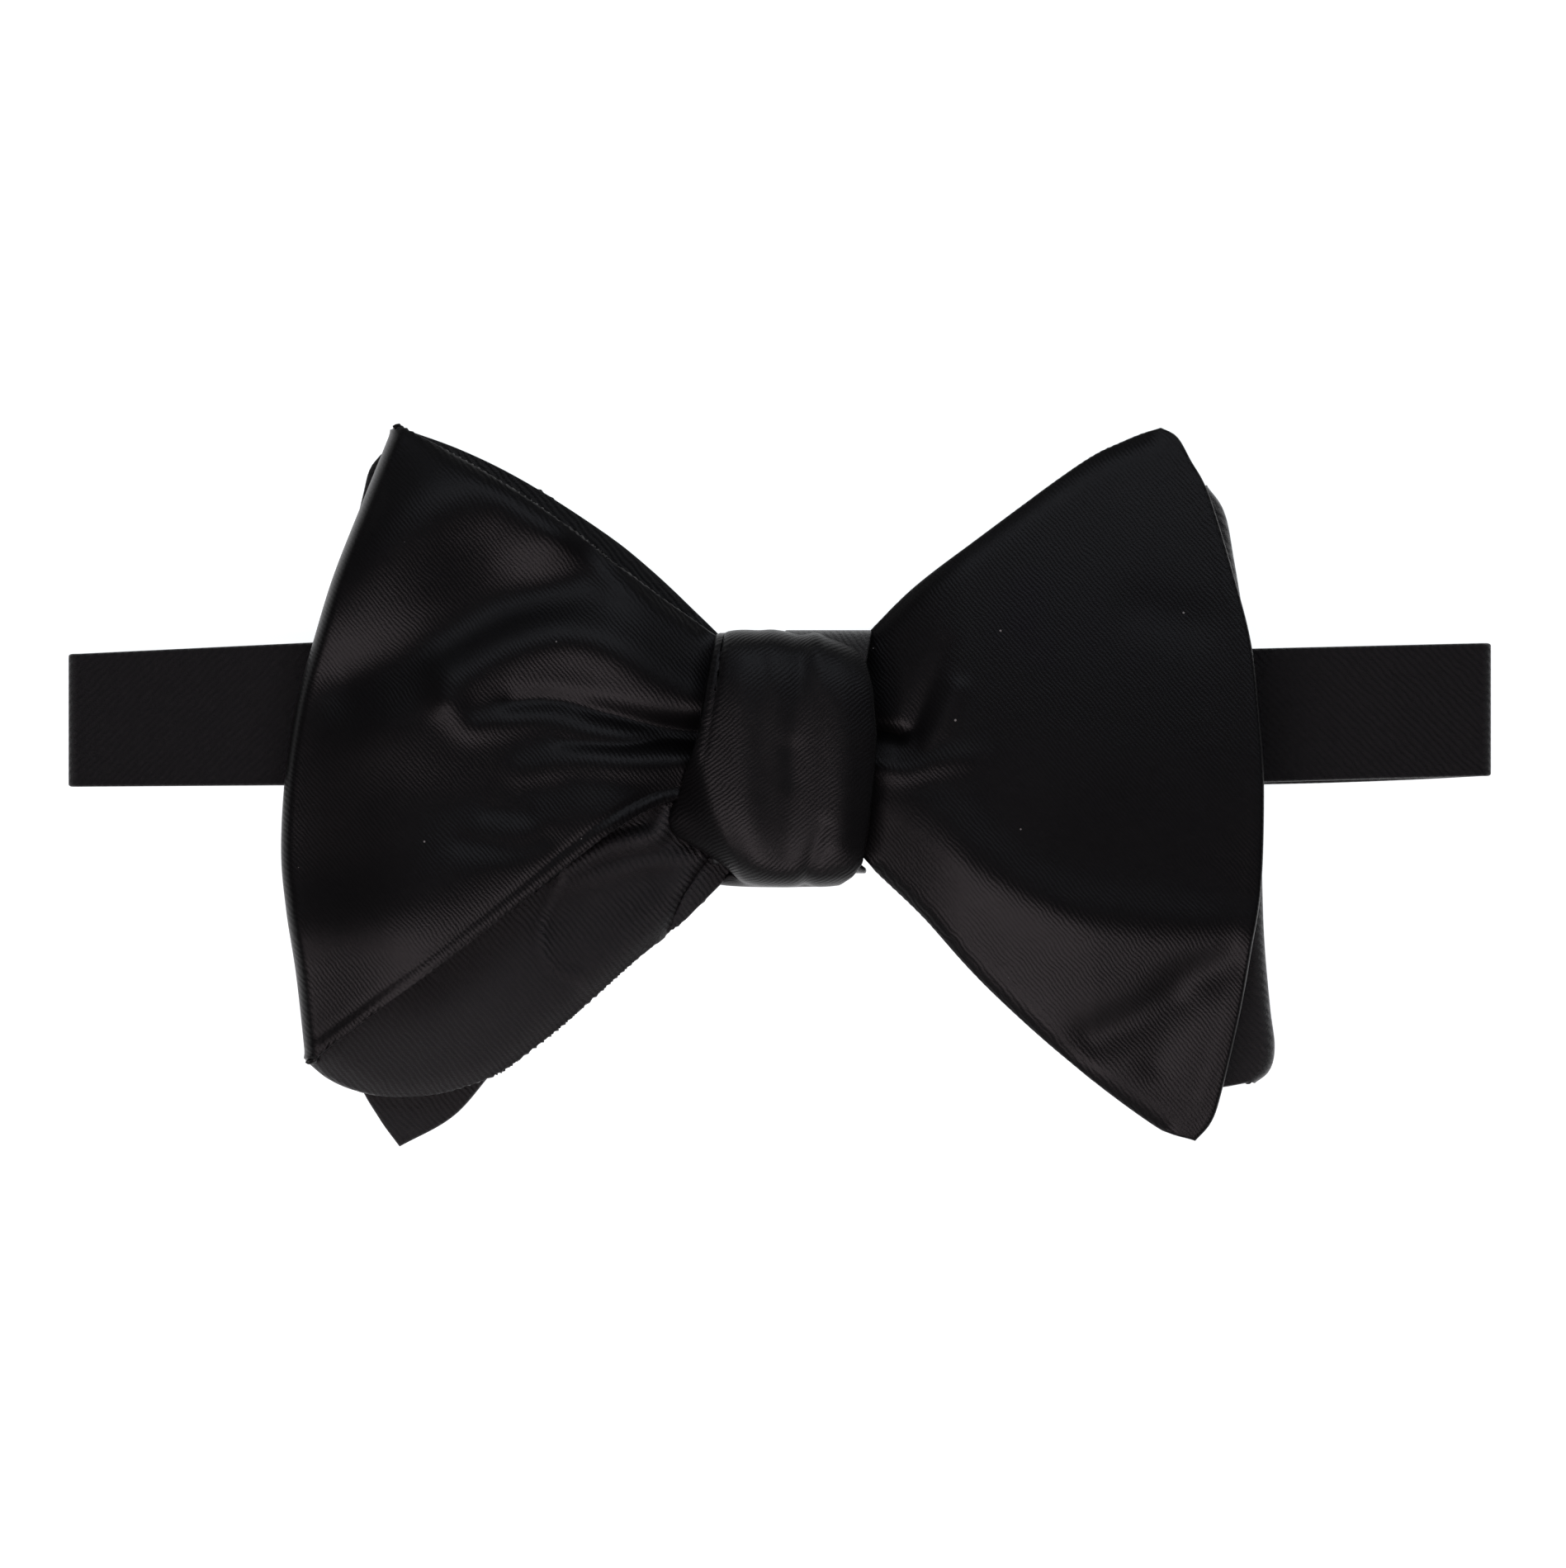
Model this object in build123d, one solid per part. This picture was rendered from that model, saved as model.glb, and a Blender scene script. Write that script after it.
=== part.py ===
"""Tied self-tie bow tie, lying face up with its neck band folded flat behind it.

Millimetres.  The outlines are drawn about the middle of the neck band under the knot
(+X to the viewer's right, +Y towards the top of the bow, +Z out of the bow's face) and the
finished pieces are then moved so that the origin is the middle of the footprint, on the
surface the tie lies on.
"""
from build123d import *
from math import atan, degrees, hypot
import os

# ---- driving dimensions -------------------------------------------------------------
BAND_TOP_SHIFT = 7.95        # moves the band's middle line off the middle of the footprint
BAND_THICK = 1.0             # neck band: two silks and an interlining
SILK = 0.25                  # one ply of silk
LAYER_GAP = 0.04             # air between the plies of one piece
BAND_HALF = 8.1              # half width of the band behind the neck
KNOT_BAND_HALF = 6.4         # half width of the band where the knot gathers it

CREASE_X = 85.45             # where the band folds back on itself
CREASE_Z = 1.15              # height of the fold's axis
CREASE_BORE = 0.15           # inside radius of the fold
STRAP_ROOT_X = 12.5          # where each strap leaves the knot
STRAP_ROOT_Z = 7.0           # underside of the strap at the knot

KNOT_BACK_Z = 5.2
KNOT_FRONT_Z = 20.4
KNOT_TOP_Y = 10.4
KNOT_BOTTOM_Y = -20.3
KNOT_CORNER = 5.5
KNOT_SILK = 0.4
KNOT_INTERLINING = 0.9
KNOT_PLAN = [(-8, 10.6), (11, 10.6), (11.4, 0), (11.2, -9), (10, -18.5), (5.5, -20.6),
             (-5.5, -20.6), (-10.4, -16.5), (-10.6, -6), (-9.5, 0)]

WING_LEFT_ROOT_X = -11.6
WING_RIGHT_ROOT_X = 12.3
WING_CROWN_R = 160.0         # radius of the wings' crown across their height
WING_CROWN_Y = -6.0
WING_SLOPE = 0.05            # fall of the wings away from the knot
PLY = 1.4                    # silk, interlining and silk
REAR_PLY_Z = 10.2            # underside of the rear wing beside the knot
LOOP_GAP = 1.0               # air inside a loop
WING_GAP = 0.4               # air between the rear and the front wing
LOOP_EDGE = 1.6              # depth of the rolled edge that closes a loop

WIRE_R = 0.6                 # hook and eye wire
BAR_Z = 1.9                  # height of the bars that the band's ends are sewn round
TURN_BORE = 0.9              # inside radius of the band where it turns round a bar
EYE_BAR_X = 9.5              # bar of the eye that the band holds
EYE_HALF_Y = 9.4
HOOK_BASE_X = -11.0
HOOK_CROSS_X = -7.5
HOOK_HALF_WIDTH = 5.0
HOOK_THICK = 0.65
HOOK_LIP_X = -3.4            # the lip reaches this far back under the eye's bar
SLIDE_X = 30.0
SLIDE_HALF_X = 4.6
SLIDE_HALF_Y = 10.0
SLIDE_RAIL = 1.1
SLIDE_BAR_R = 0.55
SLIDE_BAR_Z = 1.35
SLIDE_TOP_Z = 4.7
TAIL_LOOP_R = 1.3
RAMP_TOP_X = 37.0
RAMP_FOOT_X = 45.0

# ---- wing outlines, each as runs of points; every run is one smooth edge ---------------
LEFT_LOOP = [
    [(WING_LEFT_ROOT_X, 12.9), (-20.2, 18.7), (-34.7, 29.4), (-46.1, 36.3)],
    [(-46.1, 36.3), (-53.7, 17), (-58, 2), (-59.9, -16), (-58.3, -31), (-57.6, -41)],
    [(-57.6, -41), (-51.5, -45.5), (-42.5, -45.8), (-33.5, -43), (-18, -29.5),
     (WING_LEFT_ROOT_X, -24.5)],
]
LEFT_BLADE = [
    [(WING_LEFT_ROOT_X, 15.5), (-21, 23), (-30.5, 29), (-44.5, 35.4)],
    [(-44.5, 35.4), (-49.2, 31), (-51.5, 22), (-56.5, 0), (-57.5, -15), (-54.5, -34),
     (-46.5, -52.2)],
    [(-46.5, -52.2), (-33.5, -43), (-24, -34), (WING_LEFT_ROOT_X, -22)],
]
RIGHT_BLADE = [
    [(WING_RIGHT_ROOT_X, 12), (25, 22.5), (36.5, 31), (47, 35.3)],
    [(47, 35.3), (52, 27), (57, 9), (58.6, -12), (57, -28), (53.5, -45), (50.2, -51.3)],
    [(50.2, -51.3), (35.5, -42), (25, -32.5), (WING_RIGHT_ROOT_X, -19)],
]
RIGHT_LOOP = [
    [(WING_RIGHT_ROOT_X, 11), (20, 17), (33, 26), (44, 30.5), (50, 29.5)],
    [(50, 29.5), (54.2, 24), (57, 9), (58.4, -12), (59.2, -34), (59, -43)],
    [(59, -43), (50, -44.6), (35, -38), (25, -29.5), (WING_RIGHT_ROOT_X, -17)],
]

# half widths of the straps along their length: (distance from the knot, top, bottom)
LEFT_STRAP = [(STRAP_ROOT_X, 8.5, -8.5), (56, 9.3, -8.0), (CREASE_X, 7.9, -8.3)]
RIGHT_STRAP = [(STRAP_ROOT_X, 8.5, -8.5), (57, 8.5, -7.8), (CREASE_X, 9.2, -7.1)]

nodes = {}


# ---- helpers ----------------------------------------------------------------------
def outline_face(runs):
    """A closed plan outline from smooth runs, closed by a straight root edge."""
    edges = [Spline(*run) for run in runs]
    edges.append(Line(runs[-1][-1], runs[0][0]))
    return make_face(edges)


def along_y(profile_xz, y_low, y_high):
    """A closed profile of (x, z) points, extruded across the band."""
    points = [(x, y_high, z) for x, z in profile_xz]
    face = make_face(Polyline(*points, close=True))
    return extrude(face, amount=y_high - y_low, dir=(0, -1, 0))


def strip(points, thick):
    """The outline of a strip of even thickness along a path of (x, z) points."""
    upper, lower = [], []
    for i, (x, z) in enumerate(points):
        before = points[max(i - 1, 0)]
        after = points[min(i + 1, len(points) - 1)]
        normals = []
        for (ax, az), (bx, bz) in ((before, (x, z)), ((x, z), after)):
            run = hypot(bx - ax, bz - az)
            if run:
                normals.append((-(bz - az) / run, (bx - ax) / run))
        nx = sum(n[0] for n in normals) / len(normals)
        nz = sum(n[1] for n in normals) / len(normals)
        mitre = thick / 2 / (nx * nx + nz * nz)
        upper.append((x + nx * mitre, z + nz * mitre))
        lower.append((x - nx * mitre, z - nz * mitre))
    return upper + lower[::-1]


def rod_y(x, z, radius, y_low, y_high):
    """A round bar across the band."""
    middle = (y_low + y_high) / 2
    return Pos(x, middle, z) * Rot(90, 0, 0) * Cylinder(radius, y_high - y_low)


def turn(x, z, bore, thick, side, y_low, y_high):
    """Half a tube across the band: the band turning round a bar, bulging to one side."""
    tube = rod_y(x, z, bore + thick, y_low, y_high) - rod_y(x, z, bore, y_low, y_high)
    reach = bore + thick + 1
    half = Pos(x + side * reach / 2, (y_low + y_high) / 2, z) * Box(reach, 40, 2 * reach)
    return tube & half


def wing_shell(root_x, low, high):
    """A crowned sheet between two heights beside the knot, falling away outwards."""
    middle_z = REAR_PLY_Z - WING_CROWN_R
    outer = Rot(0, 90, 0) * Cylinder(WING_CROWN_R + high - REAR_PLY_Z, 150)
    inner = Rot(0, 90, 0) * Cylinder(WING_CROWN_R + low - REAR_PLY_Z, 152)
    tube = Pos(0, WING_CROWN_Y, middle_z) * (outer - inner)
    lean = degrees(atan(WING_SLOPE)) * (1 if root_x > 0 else -1)
    swing = Pos(root_x, 0, REAR_PLY_Z) * Rot(0, lean, 0) * Pos(-root_x, 0, -REAR_PLY_Z)
    return swing * tube


def biggest(shape):
    return max(shape.solids(), key=lambda s: s.volume)


def add_ply(prism, root_x, low, names):
    """The three cloths of one ply, from the lowest up, given their node names."""
    cloth = (PLY - 2 * SILK - 2 * LAYER_GAP)
    bottom = low
    for name, thick in zip(names, (SILK, cloth, SILK)):
        nodes[name] = biggest(prism & wing_shell(root_x, bottom, bottom + thick))
        bottom += thick + LAYER_GAP


def add_loop(side, runs, root_x, low):
    """A loop of the bow: two plies, closed along its outer edge by the rolled fold."""
    prism = extrude(outline_face(runs), amount=30)
    inward = LOOP_EDGE if root_x < 0 else -LOOP_EDGE
    gap = LAYER_GAP if root_x < 0 else -LAYER_GAP
    inner = prism & (Pos(inward + gap, 0, 0) * prism)
    edge = prism - (Pos(inward, 0, 0) * prism)
    top = low + 2 * PLY + LOOP_GAP
    nodes[f"{side}_loop_fold"] = biggest(edge & wing_shell(root_x, low, top))
    add_ply(inner, root_x, low,
            [f"{side}_loop_back_silk", f"{side}_loop_back_interlining", f"{side}_loop_back_lining"])
    add_ply(inner, root_x, low + PLY + LOOP_GAP,
            [f"{side}_loop_front_lining", f"{side}_loop_front_interlining", f"{side}_loop_front_silk"])


def add_blade(side, runs, root_x, low):
    """A flat end of the tie: one ply."""
    prism = extrude(outline_face(runs), amount=30)
    add_ply(prism, root_x, low,
            [f"{side}_blade_back_silk", f"{side}_blade_interlining", f"{side}_blade_front_silk"])


# ---- the bow's wings ----------------------------------------------------------------
def add_wings():
    blade_front_z = REAR_PLY_Z + 2 * PLY + LOOP_GAP + WING_GAP
    loop_front_z = REAR_PLY_Z + PLY + WING_GAP
    add_blade("left", LEFT_BLADE, WING_LEFT_ROOT_X, REAR_PLY_Z)
    add_loop("left", LEFT_LOOP, WING_LEFT_ROOT_X, loop_front_z)
    add_loop("right", RIGHT_LOOP, WING_RIGHT_ROOT_X, REAR_PLY_Z)
    add_blade("right", RIGHT_BLADE, WING_RIGHT_ROOT_X, blade_front_z)


# ---- the knot -------------------------------------------------------------------------
def knot_section(inset):
    """The knot's outline seen from the side, inset by a distance, as a bar along X."""
    height = KNOT_TOP_Y - KNOT_BOTTOM_Y - 2 * inset
    depth = KNOT_FRONT_Z - KNOT_BACK_Z - 2 * inset
    face = Plane.YZ * RectangleRounded(height, depth, KNOT_CORNER - inset)
    middle = Pos(-20, (KNOT_TOP_Y + KNOT_BOTTOM_Y) / 2, (KNOT_FRONT_Z + KNOT_BACK_Z) / 2)
    return extrude(middle * face, amount=40, dir=(1, 0, 0))


def add_knot():
    plan = extrude(make_face(Polyline(*KNOT_PLAN, close=True)), amount=30)
    lining_inset = KNOT_SILK + LAYER_GAP
    core_inset = lining_inset + KNOT_INTERLINING + LAYER_GAP
    nodes["knot_wrap_silk"] = plan & (knot_section(0) - knot_section(KNOT_SILK))
    nodes["knot_wrap_interlining"] = plan & (knot_section(lining_inset)
                                             - knot_section(core_inset - LAYER_GAP))
    band_top = STRAP_ROOT_Z + BAND_THICK + 0.3
    split = REAR_PLY_Z + PLY + LOOP_GAP + PLY + WING_GAP / 2
    core = plan & knot_section(core_inset + 0.2)
    lower = Pos(0, 0, (band_top + split) / 2) * Box(60, 60, split - band_top)
    upper = Pos(0, 0, split + LAYER_GAP + 10) * Box(60, 60, 20)
    nodes["knot_core_rear"] = core & lower
    nodes["knot_core_front"] = core & upper
    sleeve_x = STRAP_ROOT_X - 0.3
    low, high = STRAP_ROOT_Z, STRAP_ROOT_Z + BAND_THICK
    outer = Pos(0, 0, (low + high) / 2) * Box(2 * sleeve_x, 2 * KNOT_BAND_HALF, BAND_THICK)
    bore = BAND_THICK - 2 * SILK
    hollow = Pos(0, 0, (low + high) / 2) * Box(2 * sleeve_x + 1, 2 * KNOT_BAND_HALF - 1, bore)
    filling = Box(2 * sleeve_x, 2 * KNOT_BAND_HALF - 1 - LAYER_GAP, bore - LAYER_GAP)
    nodes["band_centre_silk"] = outer - hollow
    nodes["band_centre_interlining"] = Pos(0, 0, (low + high) / 2) * filling


# ---- the neck band --------------------------------------------------------------------
def add_strap(name, stations, side):
    """The strap in front of the neck band: a flat sleeve of silk with its interlining."""
    root, crease = stations[0][0], stations[-1][0]
    crease_low = CREASE_Z + CREASE_BORE

    def slab(z_inset, y_inset, reach=0.0):
        rise = reach * (STRAP_ROOT_Z - crease_low) / (crease - root)
        low_z = [STRAP_ROOT_Z + rise + z_inset, crease_low - rise + z_inset]
        high_z = [z + BAND_THICK - 2 * z_inset for z in low_z]
        xs = [side * (root - reach), side * (crease + reach)]
        profile = [(xs[0], low_z[0]), (xs[1], low_z[1]), (xs[1], high_z[1]), (xs[0], high_z[0])]
        tops = [(side * x, top - y_inset) for x, top, _ in stations]
        bottoms = [(side * x, bottom + y_inset) for x, _, bottom in stations]
        if reach:
            tops = [(side * (root - reach), tops[0][1])] + tops
            tops += [(side * (crease + reach), tops[-1][1])]
            bottoms = [(side * (root - reach), bottoms[0][1])] + bottoms
            bottoms += [(side * (crease + reach), bottoms[-1][1])]
        plan = make_face(Polyline(*(tops + bottoms[::-1]), close=True))
        return extrude(plan, amount=30, dir=(0, 0, 1)) & along_y(profile, -20, 20)

    nodes[f"{name}_strap_silk"] = slab(0, 0) - slab(SILK, 0.5, reach=1.0)
    nodes[f"{name}_strap_interlining"] = slab(SILK + LAYER_GAP / 2, 0.5 + LAYER_GAP)
    _, top, bottom = stations[-1]
    nodes[f"{name}_fold"] = turn(side * crease, CREASE_Z, CREASE_BORE, BAND_THICK, side, bottom, top)


def add_rear_band(name, path, crease_top, crease_bottom, side):
    """The band behind the neck: a flat sleeve of silk with its interlining."""
    end_x = path[-1][0]
    plan_points = [(side * CREASE_X, crease_top), (end_x, BAND_HALF),
                   (end_x, -BAND_HALF), (side * CREASE_X, crease_bottom)]
    inner_points = [(side * (CREASE_X + 1), crease_top - 0.5), (end_x - side, BAND_HALF - 0.5),
                    (end_x - side, -BAND_HALF + 0.5), (side * (CREASE_X + 1), crease_bottom + 0.5)]
    plan = extrude(make_face(Polyline(*plan_points, close=True)), amount=30, dir=(0, 0, 1))
    inner = extrude(make_face(Polyline(*inner_points, close=True)), amount=30, dir=(0, 0, 1))
    full = along_y(strip(path, BAND_THICK), -20, 20)
    longer = [(path[0][0] + side, path[0][1])] + path + [(end_x - side, path[-1][1])]
    hollow = along_y(strip(longer, BAND_THICK - 2 * SILK), -20, 20)
    filling = along_y(strip(path, BAND_THICK - 2 * SILK - LAYER_GAP), -20, 20)
    nodes[f"{name}_rear_band_silk"] = (plan & full) - (inner & hollow)
    nodes[f"{name}_rear_band_interlining"] = plan & inner & filling


def add_neck_band():
    add_strap("left", LEFT_STRAP, -1)
    add_strap("right", RIGHT_STRAP, 1)
    middle = BAND_THICK / 2
    raised = BAR_Z + TURN_BORE + BAND_THICK / 2
    left_path = [(-CREASE_X, middle), (HOOK_BASE_X, middle)]
    right_path = [(CREASE_X, middle), (RAMP_FOOT_X, middle), (RAMP_TOP_X, raised), (EYE_BAR_X, raised)]
    add_rear_band("left", left_path, LEFT_STRAP[-1][1], LEFT_STRAP[-1][2], -1)
    add_rear_band("right", right_path, RIGHT_STRAP[-1][1], RIGHT_STRAP[-1][2], 1)

    lies = BAND_THICK * 1.5 + 0.1
    back = [(HOOK_BASE_X, raised), (HOOK_BASE_X - 2, raised), (HOOK_BASE_X - 6, lies),
            (HOOK_BASE_X - 15, lies)]
    left_turn = turn(HOOK_BASE_X, BAR_Z, TURN_BORE, BAND_THICK, 1, -BAND_HALF, BAND_HALF)
    nodes["left_turn_back"] = left_turn + along_y(strip(back, BAND_THICK), -BAND_HALF, BAND_HALF)
    tack_x = HOOK_BASE_X - 12
    tack_z = lies + BAND_THICK / 2
    nodes["turn_back_bar_tack"] = Pos(tack_x, 0, tack_z + 0.15) * Box(1.2, 13, 0.3)

    nodes["eye_turn"] = turn(EYE_BAR_X, BAR_Z, TURN_BORE, BAND_THICK, -1, -BAND_HALF, BAND_HALF)
    flat = [(EYE_BAR_X, middle), (SLIDE_X, middle)]
    tail = along_y(strip(flat, BAND_THICK), -BAND_HALF, BAND_HALF)
    tail += rod_y(SLIDE_X, SLIDE_BAR_Z, TAIL_LOOP_R, -BAND_HALF, BAND_HALF)
    nodes["band_tail"] = tail - rod_y(SLIDE_X, SLIDE_BAR_Z, SLIDE_BAR_R + 0.1, -20, 20)
    nodes["size_label"] = Pos(-50, 0, BAND_THICK + 0.12) * Box(22, 9, 0.2)


# ---- hook, eye and slide ---------------------------------------------------------------
def wire_frame(x_low, x_high, half_y, corner):
    """A closed rectangle of round wire lying flat at the height of the bars."""
    middle = (x_low + x_high) / 2
    path = Pos(middle, 0, BAR_Z) * RectangleRounded(x_high - x_low, 2 * half_y, corner).wire()
    start = path @ 0
    section = Plane(origin=start, z_dir=path % 0) * Circle(WIRE_R)
    return sweep(section, path=path)


def add_hardware():
    nodes["eye_ring"] = wire_frame(0, EYE_BAR_X, EYE_HALF_Y, 1.4)
    frame = wire_frame(HOOK_BASE_X, HOOK_CROSS_X, EYE_HALF_Y, 1.4)
    top_z = BAR_Z + WIRE_R + 0.35 + HOOK_THICK / 2
    lip_z = BAR_Z - WIRE_R - 0.35 - HOOK_THICK / 2
    tongue = [(HOOK_CROSS_X, BAR_Z), (-4.6, top_z), (0.3, top_z), (1.35, top_z - 0.8),
              (1.35, lip_z + 0.6), (0.5, lip_z), (HOOK_LIP_X, lip_z)]
    nodes["hook"] = frame + along_y(strip(tongue, HOOK_THICK), -HOOK_HALF_WIDTH, HOOK_HALF_WIDTH)

    rails_low = SLIDE_BAR_Z - SLIDE_BAR_R
    rail_height = SLIDE_TOP_Z - rails_low
    slide = rod_y(SLIDE_X, SLIDE_BAR_Z, SLIDE_BAR_R, -SLIDE_HALF_Y + 0.2, SLIDE_HALF_Y - 0.2)
    for end in (-1, 1):
        rail_y = end * (SLIDE_HALF_Y - SLIDE_RAIL / 2)
        slide += Pos(SLIDE_X, rail_y, rails_low + rail_height / 2) * Box(
            2 * SLIDE_HALF_X, SLIDE_RAIL, rail_height)
        bar_x = SLIDE_X + end * (SLIDE_HALF_X - 0.8)
        slide += Pos(bar_x, 0, SLIDE_TOP_Z - 0.4) * Box(1.6, 2 * SLIDE_HALF_Y, 0.8)
    nodes["adjuster_slide"] = slide


def write_parts():
    os.makedirs("parts", exist_ok=True)
    for name, shape in nodes.items():
        solids = shape.solids()
        placed = [Pos(0, BAND_TOP_SHIFT, 0) * solid for solid in solids]
        export_step(placed[0] if len(placed) == 1 else Compound(children=placed), f"parts/{name}.step")


add_wings()
add_knot()
add_neck_band()
add_hardware()
write_parts()
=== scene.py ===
"""A black satin self-tie bow tie, tied, lying face up on its folded neck band.

Shapes are worked out in millimetres about the middle of the neck band under the knot
(x to the right, y towards the top of the bow, z out of its face) and are turned into the
frame's metres when a mesh is made.
"""

import bpy
import numpy as np
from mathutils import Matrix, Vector


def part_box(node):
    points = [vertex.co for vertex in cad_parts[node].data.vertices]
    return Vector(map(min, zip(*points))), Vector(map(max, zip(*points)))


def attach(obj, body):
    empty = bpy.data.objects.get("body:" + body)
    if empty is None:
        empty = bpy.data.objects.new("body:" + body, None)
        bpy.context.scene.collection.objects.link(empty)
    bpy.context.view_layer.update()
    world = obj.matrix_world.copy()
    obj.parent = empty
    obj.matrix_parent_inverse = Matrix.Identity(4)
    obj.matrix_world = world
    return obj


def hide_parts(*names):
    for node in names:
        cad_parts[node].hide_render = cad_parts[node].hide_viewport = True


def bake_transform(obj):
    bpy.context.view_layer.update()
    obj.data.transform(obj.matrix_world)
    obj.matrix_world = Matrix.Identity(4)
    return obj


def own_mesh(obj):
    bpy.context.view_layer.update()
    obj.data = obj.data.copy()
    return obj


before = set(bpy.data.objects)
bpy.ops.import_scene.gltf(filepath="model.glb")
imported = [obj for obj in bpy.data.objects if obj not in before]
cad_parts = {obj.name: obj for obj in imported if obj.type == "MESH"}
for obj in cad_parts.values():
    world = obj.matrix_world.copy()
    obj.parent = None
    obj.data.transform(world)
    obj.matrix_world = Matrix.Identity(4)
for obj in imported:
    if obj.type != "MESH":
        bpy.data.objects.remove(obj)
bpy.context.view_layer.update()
NODES = sorted(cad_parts)

MM = 0.001


def node_box(name):
    """A CAD node's corners in millimetres."""
    return [np.array(corner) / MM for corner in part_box(name)]


# ---- places taken from the frame ------------------------------------------------------
CENTRE_BOX = node_box("band_centre_silk")
BAND_Y = (CENTRE_BOX[0][1] + CENTRE_BOX[1][1]) / 2
BAND_THICK = CENTRE_BOX[1][2] - CENTRE_BOX[0][2]
BAND_ROOT_Z = (CENTRE_BOX[0][2] + CENTRE_BOX[1][2]) / 2
STRAP_ROOT_X = node_box("right_strap_silk")[0][0]
CREASE_X = node_box("right_strap_silk")[1][0]
FOLD_BOX = node_box("right_fold")
CREASE_Z = (FOLD_BOX[0][2] + FOLD_BOX[1][2]) / 2
CREASE_R = (FOLD_BOX[1][2] - FOLD_BOX[0][2] - BAND_THICK) / 2
KNOT_BOX = node_box("knot_wrap_silk")
KNOT_BACK_Z, KNOT_FRONT_Z = KNOT_BOX[0][2], KNOT_BOX[1][2]
EYE_BOX = node_box("eye_ring")
HOOK_BOX = node_box("hook")
SLIDE_BOX = node_box("adjuster_slide")
WIRE_R = (EYE_BOX[1][2] - EYE_BOX[0][2]) / 2
EYE_BAR_X = EYE_BOX[1][0] - WIRE_R
HOOK_BASE_X = HOOK_BOX[0][0] + WIRE_R
SLIDE_X = (SLIDE_BOX[0][0] + SLIDE_BOX[1][0]) / 2
TURN_BOX = node_box("eye_turn")
UPPER_RUN_Z = TURN_BOX[1][2] - BAND_THICK / 2
BAND_HALF = (TURN_BOX[1][1] - TURN_BOX[0][1]) / 2
TAIL_BOX = node_box("band_tail")
REAR_SPLIT_X = 50.0
STRAP_SPLIT_X = 38.0
RAMP_TOP_X, RAMP_FOOT_X = 37.0, 45.0

PLY_HALF = 0.62              # half thickness of one ply: silk, interlining, silk
EDGE_STEPS = np.array([0.0, 0.03, 0.10, 0.22, 0.38, 0.75])   # rows that round off an edge
EDGE_ROUND = 0.62            # an edge rounds off over this share of the half thickness


# ---- curves and grids -----------------------------------------------------------------
def smooth(points, t):
    """Points at shares t of the length of a smooth curve through the given points."""
    p = np.asarray(points, float)
    if len(p) == 2:
        return p[0] + (p[1] - p[0]) * np.asarray(t)[:, None]
    before, after = 2 * p[0] - p[1], 2 * p[-1] - p[-2]
    q = np.vstack([before, p, after])
    pieces = []
    for k in range(1, len(q) - 2):
        a, b, c, d = q[k - 1:k + 3]
        u = np.linspace(0, 1, 24, endpoint=False)[:, None]
        pieces.append(0.5 * (2 * b + (c - a) * u + (2 * a - 5 * b + 4 * c - d) * u ** 2
                             + (3 * b - a - 3 * c + d) * u ** 3))
    line = np.vstack(pieces + [p[-1:]])
    run = np.concatenate([[0], np.cumsum(np.linalg.norm(np.diff(line, axis=0), axis=1))])
    run /= run[-1]
    return np.stack([np.interp(t, run, line[:, k]) for k in range(p.shape[1])], axis=-1)


def edge_rows(width, count):
    """Shares across a width, closer together at both edges, where the cloth rounds off."""
    near = EDGE_STEPS / width
    middle = np.linspace(near[-1], 1 - near[-1], count)[1:-1]
    return np.concatenate([near, middle, 1 - near[::-1]])


def rounding(distance, half):
    """Half thickness that rounds off over the last stretch before an edge."""
    inside = np.clip(distance / (EDGE_ROUND * half), 0, 1)
    return half * np.sqrt(1 - (1 - inside) ** 2)


def coons(bottom, top, outer, s, v):
    """A patch between a wing's lower and upper edge, which run out from the knot, and its outer
    edge, given as points at the shares v from the lower edge up."""
    b, t = smooth(bottom, s)[:, None], smooth(top, s)[:, None]
    s, v = s[:, None, None], v[None, :, None]
    across = (1 - v) * b[-1] + v * t[-1]
    return (1 - v) * b + v * t + s * (outer[None] - across)


def ramp(value, low, high):
    """0 below low, 1 above high, smooth between."""
    t = np.clip((value - low) / (high - low), 0, 1)
    return t * t * (3 - 2 * t)


def stroke(xy, path, width, height):
    """A soft ridge, or a groove where height is negative, along a path on the cloth.
    height may be one number or one for each end."""
    line = smooth(path, np.linspace(0, 1, 50))
    flat = xy.reshape(-1, 2)
    gap = np.full(len(flat), 1e9)
    place = np.zeros(len(flat))
    for k, point in enumerate(line):
        d = np.hypot(flat[:, 0] - point[0], flat[:, 1] - point[1])
        nearer = d < gap
        gap[nearer] = d[nearer]
        place[nearer] = k / (len(line) - 1)
    ends = np.broadcast_to(height, 2)
    size = ends[0] + (ends[1] - ends[0]) * place
    return (size * np.exp(-(gap / width) ** 2)).reshape(xy.shape[:-1])


def strokes(xy, marks):
    """All the ridges and grooves of one piece together."""
    return sum(stroke(xy, *mark) for mark in marks)


# ---- meshes ---------------------------------------------------------------------------
def grid_normals(mid):
    """The normals of a grid of points."""
    across = np.cross(np.gradient(mid, axis=0), np.gradient(mid, axis=1))
    size = np.linalg.norm(across, axis=2, keepdims=True)
    return across / np.maximum(size, 1e-9)


def grid_faces(index):
    """The quads between neighbouring points of a grid."""
    a, b = index[:-1, :-1].ravel(), index[1:, :-1].ravel()
    c, d = index[1:, 1:].ravel(), index[:-1, 1:].ravel()
    return np.stack([a, b, c, d], axis=1)


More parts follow.
